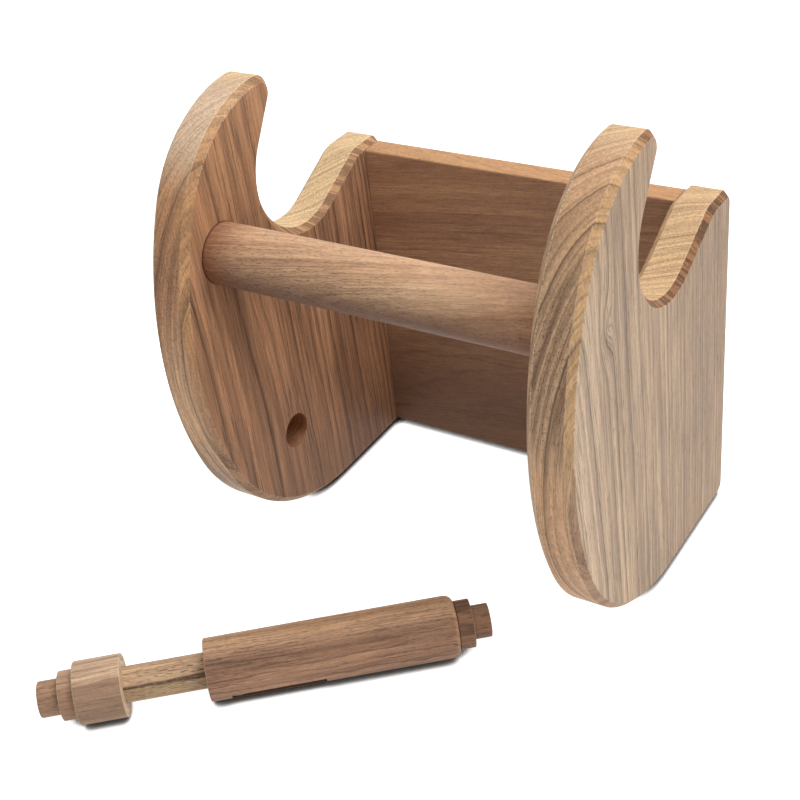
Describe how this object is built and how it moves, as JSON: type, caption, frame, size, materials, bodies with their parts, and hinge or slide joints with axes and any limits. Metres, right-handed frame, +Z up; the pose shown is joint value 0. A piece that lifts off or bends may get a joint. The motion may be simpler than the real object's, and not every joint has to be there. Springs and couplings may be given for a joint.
{
  "type": "toilet roll holder",
  "caption": "Wooden toilet roll holder: two curved cheeks, a back board and a cross bar, with its sprung slotted roller taken out and laid in front.",
  "frame": {"origin": "centre of the back board's rear face, on the wall plane, midway between the cheeks and 65 mm above the surface that the cheeks stand on", "axes": "+X along the cross bar, to the right seen from the front; +Y into the wall; +Z up"},
  "size_m": [0.1631, 0.2181, 0.179],
  "materials": {
    "teak_left_cheek": "oiled",
    "teak_right_cheek": "oiled",
    "teak_board": "oiled",
    "teak_bar": "oiled",
    "teak_dowel": "plain",
    "teak_barrel": "oiled",
    "teak_plug": "oiled",
    "teak_rod": "oiled",
    "teak_collar": "oiled",
    "teak_pin": "plain",
    "spring_steel": "bright"
  },
  "bodies": {
    "holder": {"left_cheek": "teak_left_cheek", "right_cheek": "teak_right_cheek", "back_board": "teak_board", "cross_bar": "teak_bar", "dowel_left_upper": "teak_dowel", "dowel_left_lower": "teak_dowel", "dowel_right_upper": "teak_dowel", "dowel_right_lower": "teak_dowel"},
    "roller": {"roller_barrel": "teak_barrel", "roller_end_plug": "teak_plug", "plunger_spring": "spring_steel"},
    "plunger": {"plunger_rod": "teak_rod", "plunger_collar": "teak_collar", "stop_pin": "teak_pin"}
  },
  "joints": [
    {"name": "roller_turn", "type": "hinge", "parent": "holder", "child": "roller", "pos_m": [-0.0801, -0.2136, -0.0541], "axis": [0.7638, 0.6455, 0], "continuous": true},
    {"name": "plunger_slide", "type": "slide", "parent": "roller", "child": "plunger", "axis": [0.7638, 0.6455, 0], "range_m": [0, 0.0279], "stiffness_N_per_m": 300, "springref_m": -0.01, "deforming": ["plunger_spring"]}
  ]
}
